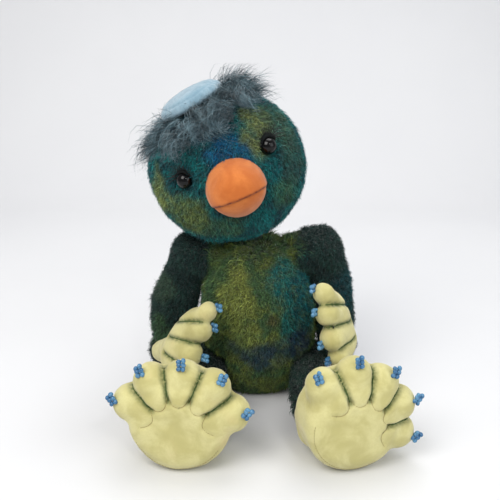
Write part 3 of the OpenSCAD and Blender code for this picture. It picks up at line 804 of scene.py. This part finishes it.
def beak_half(name, node, way):
    obj = solid(name, [node], 0.6, 4, grow=0.12)
    co, no = points_of(obj.data), normals_of(obj.data)
    q = BEAK.into(co)
    # From the rim the surface rises to a ridge along the mouth, so the bill is a wedge
    half = np.sqrt(np.maximum(BEAK_R ** 2 - q[:, 0] ** 2, 4))
    reach = half - way * MOUTH_Y
    t = np.clip(way * (q[:, 1] - MOUTH_Y) / np.maximum(reach, 1), 0, 1)
    ridge = (HEAD_R + BEAK_OUT - 1.5) - 9 * (q[:, 0] / BEAK_R) ** 2
    rim = HEAD_R - 6.5 + 3.5 * (1 - (q[:, 0] / BEAK_R) ** 2)
    wedge = rim + (ridge - rim) * (1 - t) ** 0.8 * 0.97 + 3.2 * np.sin(math.pi * t)
    front = np.clip((q[:, 2] - (HEAD_R - 4)) / 8, 0, 1)
    q[:, 2] += (wedge - q[:, 2]) * front * 0.55
    tip = 0.17 * np.clip(q[:, 2] - HEAD_R, 0, 30)
    q[:, 1] += tip
    lip = way * (q[:, 1] - tip - MOUTH_Y)
    q[:, 1] -= way * 0.35 * np.exp(-(lip / 1.2) ** 2)
    co = BEAK.out(q)
    puff = lumps(co, 9, 41) * 0.15 + lumps(co, 3.2, 42) * 0.05
    move_points(obj.data, co + no * (puff * MM)[:, None])
    # Dark band along the mouth line where the upper bill overhangs the lower: painted shade in the crease
    mouth_crease_shade = np.exp(-(lip / 0.95) ** 2) * 1.3
    paint(obj.data, "groove", np.clip(mouth_crease_shade, 0, 1))
    obj.data.materials.append(beak_suede)
    piece(obj, "head", "beak_suede", node)
    return obj


beak_half("upper_beak_suede", "upper_beak", 1)
beak_half("lower_beak_suede", "lower_beak", -1)


def eye_set(side):
    NODES[f"{side}_eye"].data.materials.clear()
    NODES[f"{side}_eye"].data.materials.append(eye_glass)
    way = EYE_WAYS[0 if side == LEFT else 1]
    mid = Vector(EYES[side]) + way * 1.2 * MM
    x = HEAD.way([math.cos(math.radians(34)), (1 if side == LEFT else -1) * math.sin(math.radians(34)), 0])
    x = unit(Vector(x) - way * Vector(x).dot(way))
    y = way.cross(x)
    place = Place(mid, x, y, way)
    r = EYE_R
    # Rolled lid over the upper half of the eye, thinner toward its ends
    path = []
    for a in np.linspace(8, 172, 28):
        w = math.radians(a)
        path.append(place.out([math.cos(w) * (r + 0.3), math.sin(w) * (r + 0.3), 1.4 + 0.9 * math.sin(w)]))
    lid = tube(f"{side}_lid", path, 1.4, lid_cloth, 10, lambda s: 0.35 + 0.75 * math.sin(math.pi * s))
    piece(lid, "head", "lash_thread", f"{side}_lashes")
    rng = np.random.default_rng(51 if side == LEFT else 52)
    lashes = []
    for i, a in enumerate(np.linspace(25, 155, 19)):
        w = math.radians(a + rng.normal(0, 2))
        length = (8.8 if i % 2 else 6.8) * (0.85 + 0.3 * rng.random())
        fan = math.radians(a + (a - 90) * 0.35)
        points = []
        for s in np.linspace(0, 1, 6):
            rad = r + 0.4 + length * s * 0.75
            up = 1.6 + length * (0.75 * s - 0.2 * s * s)
            c = math.cos(w) * (1 - s) + math.cos(fan) * s
            d = math.sin(w) * (1 - s) + math.sin(fan) * s
            points.append(place.out([c * rad, d * rad, up]))
        lashes.append(tube(f"lash_{i}", points, 0.45, lash_black, 5, lambda s: 1 - 0.75 * s))
    row = joined(f"{side}_lash_row", lashes)
    piece(row, "head", "lash_thread")


for s in (LEFT, RIGHT):
    eye_set(s)

# Crown: long curly hair around a padded felt dish
crown_x = unit(Vector(HEAD.way([1, 0, 0])) - crown_way * Vector(HEAD.way([1, 0, 0])).dot(crown_way))
DISH = Place(head_mid, crown_x, crown_way.cross(crown_x), crown_way)


CURL_TOP = 0.2425    # height above which the crown's curls are flattened, m


def crown():
    mat = crown_material()
    rng = np.random.default_rng(61)
    n = int(CROWN_STRANDS * max(FUR_SHARE, 0.5))
    # Roots over the patch, thick near the dish's edge
    angle = rng.random(n) * 2 * math.pi
    spread = np.radians(14 + 28 * np.sqrt(rng.random(n)))
    d = np.stack([np.sin(spread) * np.cos(angle), np.sin(spread) * np.sin(angle), np.cos(spread)], axis=1)
    normals = d @ DISH.axes
    roots = np.array(head_mid) + normals * (HEAD_R + 0.5) * MM
    outward = np.stack([np.cos(angle), np.sin(angle), np.zeros(n)], axis=1) @ DISH.axes
    # Locks: neighbouring strands share a direction
    heads = roots[rng.choice(n, 170, replace=False)]
    own = np.argmin(((roots[:, None] - heads[None]) ** 2).sum(axis=2), axis=1)
    turn = rng.normal(0, 0.55, len(heads))[own]
    tone = np.clip(rng.random(len(heads))[own] * 0.65 + rng.random(n) * 0.35, 0, 1)
    phase = (rng.random(len(heads)) * 2 * math.pi)[own] + rng.normal(0, 0.35, n)
    comb = outward * np.cos(turn)[:, None] + np.cross(normals, outward) * np.sin(turn)[:, None]
    comb = comb + np.array([0, -0.15, -0.25])
    length = 19 * (0.6 + 0.6 * rng.random(n)) * (1 + 0.3 * lumps(roots, 9, 63))
    width = 0.42 * (0.7 + 0.6 * rng.random(n))
    lifts = 0.55 + 0.28 * lumps(roots, 11, 67)
    hair = blades("crown_locks", roots, normals, comb, length, width, mat, rng, lift=lifts, lay=0.85,
                  mess=0.1, curl=0.2, turns=1.0, steps=7, sink=1.5,
                  gather=(heads[own] - roots) * 0.85, phase=phase, tone=tone)
    # Flatten the highest curls
    co = points_of(hair.data)
    high = co[:, 2] > CURL_TOP
    co[high, 2] = CURL_TOP + (co[high, 2] - CURL_TOP) * 0.35
    move_points(hair.data, co)
    piece(hair, "head", "crown_mohair", "crown_hair")

    dish = solid("crown_dish_felt", ["crown_dish"], 0.8, 8, grow=0.15)
    co, no = points_of(dish.data), normals_of(dish.data)
    q = DISH.into(co)
    r = np.hypot(q[:, 0], q[:, 1])
    a = np.arctan2(q[:, 1], q[:, 0])
    pucker = np.exp(-((r - 22.3) / 2.2) ** 2) * np.sin(a * 34) * 0.14
    seam = -0.5 * np.exp(-((r - 21.2) / 0.8) ** 2)
    swell = pucker + seam + lumps(co, 10, 64) * 0.3 + lumps(co, 3, 65) * 0.06
    move_points(dish.data, co + no * (swell * MM)[:, None])
    dish.data.materials.append(felt_material())
    piece(dish, "head", "dish_felt", "crown_dish")
    fuzz = fur("dish_fuzz", dish, DISH_STRANDS, dish.data.materials[0],
               lambda p: RNG.normal(size=p.shape), 0.9, 0.06,
               seed=66, lift=0.5, lay=0.8, mess=1.5, curl=0.3, sink=0.1)
    piece(fuzz, "head", "dish_felt")


crown()

# ---------------------------------------------------------------- arms and hands

FINGER_Z = (24, 10, -7, -21)
FINGER_R = (7.5, 8.5, 9, 7)
FINGER_REACH = (21, 24, 23, 17)


def carve(obj, place, lines, face, depth=1.0, width=1.3, tint=2.2):
    """Presses stitched grooves into a stuffed shape. A line is a list of local points
    across the face; face is the local axis that the grooves are seen along."""
    co, no = points_of(obj.data), normals_of(obj.data)
    q = place.into(co)
    keep = [i for i in range(3) if i != face]
    press = np.zeros(len(q))
    stain = np.zeros(len(q))
    for line in lines:
        pts = np.array(line, float)
        for a, b in zip(pts[:-1], pts[1:]):
            a2, b2 = a[keep], b[keep]
            t = np.clip(((q[:, keep] - a2) @ (b2 - a2)) / ((b2 - a2) @ (b2 - a2)), 0, 1)
            d = np.linalg.norm(q[:, keep] - a2 - t[:, None] * (b2 - a2), axis=1)
            near = np.abs(q[:, face] - a[face]) < 16
            press = np.maximum(press, np.exp(-(d / width) ** 2) * near)
            stain = np.maximum(stain, np.exp(-(d / tint) ** 2) * near)
    move_points(obj.data, co - no * (press * depth * MM)[:, None])
    old = obj.data.attributes.get("groove")
    if old is not None:
        before = np.zeros(len(q), np.float32)
        old.data.foreach_get("value", before)
        stain = np.maximum(stain, before)
    paint(obj.data, "groove", stain)


def laid(tree, place, line, face, way, lift=0.05, steps=14):
    """Points of a line dropped onto a surface along a local axis."""
    pts = []
    line = np.array(line, float)
    for a, b in zip(line[:-1], line[1:]):
        for t in np.linspace(0, 1, steps):
            p = a + (b - a) * t
            p[face] = way * 60
            d = np.zeros(3)
            d[face] = -way
            hit = tree.ray_cast(Vector(place.out(p)), Vector(place.way(d)))
            if hit[0] is not None:
                pts.append(hit[0] + hit[1] * lift * MM)
    clean = [pts[0]] if pts else []
    for p in pts[1:]:
        if (p - clean[-1]).length > 0.3 * MM and (p - clean[-1]).length < 9 * MM:
            clean.append(p)
    return clean


def stitches(name, tree, place, lines, face, way, material, gap=2.1, size=1.3, radius=0.22):
    """Small thread stitches along lines laid on a surface."""
    out = []
    for line in lines:
        pts = laid(tree, place, line, face, way)
        if len(pts) < 3:
            continue
        run = [0.0]
        for a, b in zip(pts[:-1], pts[1:]):
            run.append(run[-1] + (b - a).length / MM)
        at = 0.4
        while at + size < run[-1]:
            seg = [Vector([np.interp(at + size * s, run, [p[i] for p in pts]) for i in range(3)])
                   for s in (0, 0.33, 0.66, 1)]
            out.append(tube("s", seg, radius, material, 6, lambda s: 0.55 + 0.6 * math.sin(math.pi * s)))
            at += gap
    return joined(name, out) if out else None


def thread(name, tree, place, lines, face, way, material, radius=0.3, lift=0.05):
    out = []
    for line in lines:
        pts = laid(tree, place, line, face, way, lift)
        if len(pts) > 2:
            out.append(tube("t", pts, radius, material, 6))
    return joined(name, out) if out else None


def claws(name, places):
    """Bead claws at the given tips: two rows of three glossy seed beads, with a hooked end."""
    bm = bmesh.new()
    rng = np.random.default_rng(len(name))
    for place in places:
        for row in (-1, 1):
            for i, z in enumerate((0.4, 3.0, 5.6)):
                if row > 0 and i == 2:
                    z -= 1.0
                at = place.out([row * 1.35 + rng.normal(0, 0.1), 0.5 * i, z])
                spin = Matrix.Rotation(rng.random() * 3, 4, "X") @ Matrix.Rotation(rng.random() * 3, 4, "Y")
                bmesh.ops.create_uvsphere(
                    bm, u_segments=14, v_segments=9, radius=1.7 * MM,
                    matrix=Matrix.Translation(at) @ spin @ Matrix.Diagonal((1, 1, 0.82, 1)))
    mesh = bpy.data.meshes.new(name)
    bm.to_mesh(mesh)
    bm.free()
    return add_object(name, mesh, claw_glass)


def arm(side):
    strands, skin_mat = arm_mats[side]
    body = f"{side}_arm"
    place = shoulder(side)
    skin = solid(f"{side}_arm_skin", [f"{side}_arm_cover", f"{side}_arm_stuffing"], 1.5, 3)
    skin.data.materials.append(skin_mat)
    # The arm bows outward at its elbow, and its shoulder is full at the front
    q = place.into(points_of(skin.data))
    bow, swell, slope = (1.0, 8.0, 0.06) if side == LEFT else (5.0, 1.0, 0.04)
    q[:, 0] += bow * np.exp(-((q[:, 2] + 46) / 24) ** 2) * np.clip((q[:, 0] - 8) / 12, 0, 1)
    q[:, 0] *= 1 - slope * np.clip((q[:, 2] + 25) / 35, 0, 1)
    top = swell * np.exp(-(q[:, 2] / 20) ** 2)
    q[:, 0] -= top * np.clip(-q[:, 1] / 8, 0, 1) * np.clip(1 - q[:, 0] / 20, 0, 1)
    q[:, 2] += top * 0.3 * np.clip(q[:, 2] / 10, 0, 1) * np.clip(1 - q[:, 0] / 12, 0, 1)
    move_points(skin.data, place.out(q))
    piece(skin, body, "arm_mohair", f"{side}_arm_cover")
    hand_at = hand_place(side)

    def weight(c):
        q = place.into(c)
        h = hand_at.into(c)
        w = np.where(q[:, 0] < 1.0, 0.8, 1.0)
        inside_hand = (np.abs(h[:, 0]) < 11) & (h[:, 1] < 14) & (np.abs(h[:, 2]) < 30)
        return np.where(inside_hand, 0.0, w)

    def flow(p):
        q = place.into(p)
        down = np.tile([0.0, 0.0, -1.0], (len(p), 1))
        fold = np.clip((-q[:, 2] - 60) / 20, 0, 1)[:, None] * np.clip(-q[:, 1] / 20 + 0.5, 0, 1)[:, None]
        return (down * (1 - fold) + np.array([0, -0.6, 0.8]) * fold) @ place.axes

    hair = fur(f"{side}_arm_fur", skin, BODY_STRANDS, strands, flow, 5.4, 0.55, weight=weight,
               seed=71 if side == LEFT else 72, lift=0.62, lay=0.6, mess=0.7, curl=0.2)
    piece(hair, body, "arm_mohair")

    lean = 3.0 if side == LEFT else 7.0

    def leaning(z):
        return lean * np.clip((np.array(z) + 4) / 28, 0, 1.1)

    hand = solid(f"{side}_hand_suede", [f"{side}_hand"], 0.9, 8, grow=0.5, close=2)
    co, no = points_of(hand.data), normals_of(hand.data)
    # The back of the hand slopes in toward the top finger
    q = hand_at.into(co)
    near = np.exp(-(np.maximum(np.abs(q[:, 0]) - 9, 0) / 4) ** 2)
    slope = np.clip((q[:, 2] + 12) / 36, 0, 1.2) * np.clip((q[:, 1] + 16) / 30, 0, 1.1)
    q[:, 1] -= 13 * slope * near + leaning(q[:, 2])
    co = hand_at.out(q)
    move_points(hand.data, co + no * ((lumps(co, 12, 81) * 0.35 + lumps(co, 4, 82) * 0.1) * MM)[:, None])
    grooves = []
    for i in range(3):
        z = (FINGER_Z[i] + FINGER_Z[i + 1]) / 2 + (FINGER_R[i + 1] - FINGER_R[i]) / 2
        tip = -(min(FINGER_REACH[i], FINGER_REACH[i + 1]) - 4)
        bend = float(leaning(z))
        grooves.append([[0, 5 - bend, z * 0.72], [0, tip * 0.4 - bend, z * 0.86], [0, tip - 2 - bend, z]])
    carve(hand, hand_at, grooves, 0, 1.5, 1.5, 1.9)
    hand.data.materials.append(foot_suede)
    piece(hand, body, "hand_suede", f"{side}_hand")
    tree = bvh(hand)
    for n, way in (("palm", -1), ("back", 1)):
        t = thread(f"{side}_hand_thread_{n}", tree, hand_at, grooves, 0, way, stitch_green, 0.28)
        if t:
            piece(t, body, "hand_suede")
    rim = [[0, 8, 26], [0, -6, 30], [0, -14, 31]]
    s = stitches(f"{side}_hand_seam", tree, hand_at, [rim], 0, -1, stitch_brown)
    if s:
        piece(s, body, "hand_suede")
    places = []
    rises = (5.5, 3.5, -2.5, -1) if side == LEFT else (5, 5, 0, 0)
    for z, r, reach, rise in zip(FINGER_Z, FINGER_R, FINGER_REACH, rises):
        front = -reach + 1.6 + 0.35 * abs(rise) - float(leaning(z))
        tip = hand_at.turned([-r * 0.62, front, z + rise], [0, 0, 0])
        ways = tip.axes
        places.append(Place(tip.o, ways[2], ways[0], -ways[1] - 0.25 * ways[0]))
    piece(claws(f"{side}_hand_bead_claws", places), body, "claw_beads", f"{side}_hand_claws")


for s in (LEFT, RIGHT):
    arm(s)

# ---------------------------------------------------------------- legs and feet

TOE_MID, TOE_STEP, TOE_REACH, TOE_ARCH = 90, 37, 44, 1.5


def leg(side):
    body = f"{side}_leg"
    place = hip(side)
    skin = solid(f"{side}_leg_skin", [f"{side}_leg_cover", f"{side}_leg_stuffing"], 1.5, 3)
    skin.data.materials.append(leg_skin_mat)
    piece(skin, body, "leg_mohair", f"{side}_leg_cover")

    def weight(c):
        q = place.into(c)
        w = np.where(q[:, 0] < 1.0, 0.3, 1.0)
        return np.where(q[:, 1] < -74, 0.15, w)

    hair = fur(f"{side}_leg_fur", skin, LEG_STRANDS, leg_strands,
               lambda p: np.tile([0, -1.0, -0.1], (len(p), 1)), 6.0, 0.6, weight=weight,
               seed=91 if side == LEFT else 92, lift=0.55, lay=0.6, mess=0.6, curl=0.18)
    piece(hair, body, "leg_mohair")

    at = foot_place(side)
    foot = solid(f"{side}_foot_suede", [f"{side}_foot", f"{side}_foot_stuffing"], 1.0, 8, grow=0.8, close=4)
    co, no = points_of(foot.data), normals_of(foot.data)
    q = at.into(co)
    sole = np.clip(1 - q[:, 1] / 6, 0, 1)
    r = np.hypot(q[:, 0], q[:, 2])
    crown_out = -1.6 * sole * np.clip(1 - (r / 27) ** 2, 0, 1)
    co = co + np.outer(crown_out, at.axes[1]) * MM
    co = co + no * ((lumps(co, 16, 83) * 0.4 + lumps(co, 5, 84) * 0.12) * MM)[:, None]
    move_points(foot.data, co)
    grooves, caps = [], []
    for k in range(-2, 2):
        w = math.radians(TOE_MID + (k + 0.5) * TOE_STEP)
        d = np.array([math.cos(w), 0, math.sin(w)])
        grooves.append([list(d * 20), list(d * 30), list(d * 43)])
    for k in range(-2, 3):
        w = math.radians(TOE_MID + k * TOE_STEP)
        d = np.array([math.cos(w), 0, math.sin(w)])
        n = np.array([-math.sin(w), 0, math.cos(w)])
        caps.append([list(d * (21.5 - 5.5 * (1 - s * s)) + n * s * 7.2) for s in np.linspace(-1, 1, 13)])
    carve(foot, at, grooves, 1, 2.6, 1.7, 1.7)
    carve(foot, at, caps, 1, 0.7, 1.0, 0.01)
    foot.data.materials.append(foot_suede)
    piece(foot, body, "foot_suede", f"{side}_foot")
    tree = bvh(foot)
    t = thread(f"{side}_foot_thread", tree, at, grooves, 1, -1, stitch_green, 0.35)
    piece(t, body, "foot_suede")
    c = thread(f"{side}_foot_toe_seams", tree, at, caps, 1, -1, stitch_brown, 0.14, 0.0)
    piece(c, body, "foot_suede")
    rim = [[math.cos(a) * 28.5, 0, math.sin(a) * 28.5] for a in np.radians(np.linspace(205, 335, 30))]
    s = stitches(f"{side}_foot_seam", tree, at, [rim], 1, -1, stitch_brown, 1.9, 1.2, 0.16)
    piece(s, body, "foot_suede")
    places = []
    for k in range(-2, 3):
        w = math.radians(TOE_MID + k * TOE_STEP)
        reach = TOE_REACH - TOE_ARCH * (2 - abs(k))
        at_tip = at.out([math.cos(w) * (reach - 2), 3.4, math.sin(w) * (reach - 2)])
        out = Vector(at.way([math.cos(w), -0.15, math.sin(w)])) + Vector((0, 0, 0.9 if abs(k) < 2 else 1.1))
        across = out.cross(Vector(at.way([0, 1, 0])))
        places.append(Place(at_tip, across, across.cross(out), out))
    piece(claws(f"{side}_foot_bead_claws", places), body, "claw_beads", f"{side}_foot_claws")


for s in (LEFT, RIGHT):
    leg(s)

# ---------------------------------------------------------------- inner parts

for name, node in NODES.items():
    for part, material in (("stuffing", wool), ("disc", board), ("washer", steel), ("bolt", steel),
                           ("nut", steel), ("_pin", steel)):
        if part in name and "dish" not in name:
            node.data.materials.clear()
            node.data.materials.append(material)

# ---------------------------------------------------------------- floor, light and camera

def stage():
    # The floor rises behind the toy in one smooth sweep
    n, far, rise = 24, 0.55, 1.6
    rows = [(-1.2, 0.0), (far, 0.0)]
    for i in range(1, n + 1):
        a = math.pi / 2 * i / n
        rows.append((far + 0.35 * math.sin(a), 0.35 * (1 - math.cos(a))))
    rows.append((far + 0.35, rise))
    points = [(x, y, z) for y, z in rows for x in (-2.5, 2.5)]
    faces = [(2 * i, 2 * i + 1, 2 * i + 3, 2 * i + 2) for i in range(len(rows) - 1)]
    k = Nodes("floor")
    k.put(k.shader.inputs["Base Color"], k.mix(k.noise(400, 3), srgb(212, 212, 214), srgb(222, 222, 223)))
    k.set(Roughness=0.85)
    floor = add_object("floor", mesh_from("floor", points, faces), k.mat)


def light(name, place, aim, size, power, tint=(1, 1, 1)):
    data = bpy.data.lights.new(name, "AREA")
    data.energy = power
    data.size = size
    data.color = tint
    obj = bpy.data.objects.new(name, data)
    SCENE.collection.objects.link(obj)
    obj.location = place
    obj.rotation_euler = (Vector(aim) - Vector(place)).to_track_quat("-Z", "Y").to_euler()


stage()
light("key", (-0.55, -0.75, 1.05), (0, 0, 0.1), 0.8, 12.5, (1.0, 0.98, 0.95))
light("fill", (0.9, -0.7, 0.6), (0, 0, 0.1), 0.9, 5, (0.95, 0.98, 1.0))
light("top", (0.1, 0.35, 1.2), (0, 0, 0.1), 0.8, 7)
light("catch", (0.22, -0.8, 0.72), (0, 0, 0.17), 0.07, 0.9)
world = bpy.data.worlds.new("soft_light")
world.use_nodes = True
world.node_tree.nodes["Background"].inputs["Color"].default_value = srgb(235, 238, 242)
world.node_tree.nodes["Background"].inputs["Strength"].default_value = 0.5
SCENE.world = world
SCENE.view_settings.view_transform = "Standard"

camera_data = bpy.data.cameras.new("camera")
camera_data.sensor_width = 36
camera_data.angle = math.radians(40)
camera = bpy.data.objects.new("camera", camera_data)
SCENE.collection.objects.link(camera)
PITCH, RANGE, AIM = math.radians(17), 0.516, Vector((-0.0096, 0, 0.108))
camera.location = AIM + Vector((0, -math.cos(PITCH), math.sin(PITCH))) * RANGE
camera.rotation_euler = (math.pi / 2 - PITCH, 0, 0)
SCENE.camera = camera
